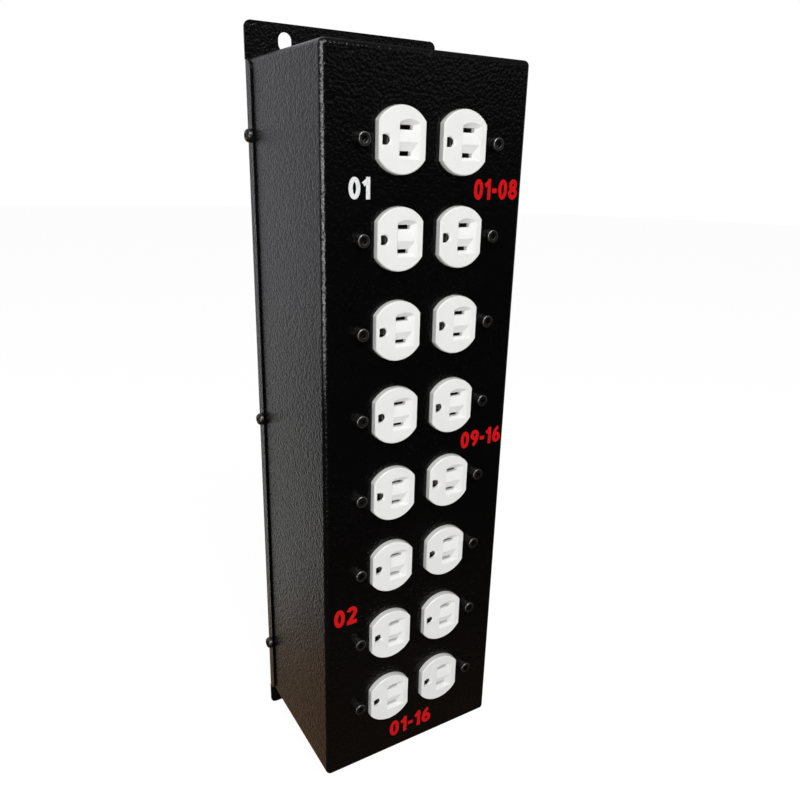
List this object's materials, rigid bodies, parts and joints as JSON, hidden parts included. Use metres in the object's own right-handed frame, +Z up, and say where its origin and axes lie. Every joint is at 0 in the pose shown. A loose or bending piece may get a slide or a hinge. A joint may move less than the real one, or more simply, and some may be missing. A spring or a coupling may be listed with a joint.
{
  "type": "rack power distribution unit",
  "caption": "Upright sheet-steel power distribution box with grounded duplex outlets on its front panel and a slotted back plate for a rack or wall.",
  "frame": {"origin": "on the rear face of the back plate, midway between the four mounting slots", "axes": "+X to the right and +Z up, seen from the front; the outlets face -Y and +Y points into the wall or rack"},
  "size_m": [0.1356, 0.1042, 0.474],
  "materials": {
    "powder_coat": "black textured powder coat",
    "white_plastic": "satin white moulding",
    "base_plastic": "dark thermoset moulding",
    "black_oxide": "black oxide steel screws",
    "black_plastic": "black moulding",
    "zinc_steel": "zinc-plated strip",
    "brass": "bright brass strip",
    "copper": "bright copper",
    "nickel": "nickel-plated brass"
  },
  "bodies": {
    "root": {"front_cover": "powder_coat", "back_plate": "powder_coat", "receptacle_faces": "white_plastic", "receptacle_1_base": "base_plastic", "receptacle_1_yoke": "zinc_steel", "receptacle_1_neutral_contact": "brass", "receptacle_1_hot_contact": "brass", "receptacle_1_ground_contact": "brass", "receptacle_2_base": "base_plastic", "receptacle_2_yoke": "zinc_steel", "receptacle_2_neutral_contact": "brass", "receptacle_2_hot_contact": "brass", "receptacle_2_ground_contact": "brass", "receptacle_3_base": "base_plastic", "receptacle_3_yoke": "zinc_steel", "receptacle_3_neutral_contact": "brass", "receptacle_3_hot_contact": "brass", "receptacle_3_ground_contact": "brass", "receptacle_4_base": "base_plastic", "receptacle_4_yoke": "zinc_steel", "receptacle_4_neutral_contact": "brass", "receptacle_4_hot_contact": "brass", "receptacle_4_ground_contact": "brass", "receptacle_5_base": "base_plastic", "receptacle_5_yoke": "zinc_steel", "receptacle_5_neutral_contact": "brass", "receptacle_5_hot_contact": "brass", "receptacle_5_ground_contact": "brass", "receptacle_6_base": "base_plastic", "receptacle_6_yoke": "zinc_steel", "receptacle_6_neutral_contact": "brass", "receptacle_6_hot_contact": "brass", "receptacle_6_ground_contact": "brass", "receptacle_7_base": "base_plastic", "receptacle_7_yoke": "zinc_steel", "receptacle_7_neutral_contact": "brass", "receptacle_7_hot_contact": "brass", "receptacle_7_ground_contact": "brass", "receptacle_8_base": "base_plastic", "receptacle_8_yoke": "zinc_steel", "receptacle_8_neutral_contact": "brass", "receptacle_8_hot_contact": "brass", "receptacle_8_ground_contact": "brass", "line_bus_1": "copper", "line_bus_2": "copper", "neutral_bus": "copper", "line_feed_1": "copper", "line_feed_2": "copper", "neutral_feed": "copper", "line_terminal_block": "base_plastic", "neutral_terminal_block": "base_plastic", "earth_tab": "brass", "panel_screws": "black_oxide", "side_screws": "black_oxide", "inlet_shell": "black_plastic", "inlet_line_prong": "nickel", "inlet_neutral_prong": "nickel", "inlet_earth_prong": "nickel"}
  },
  "joints": []
}
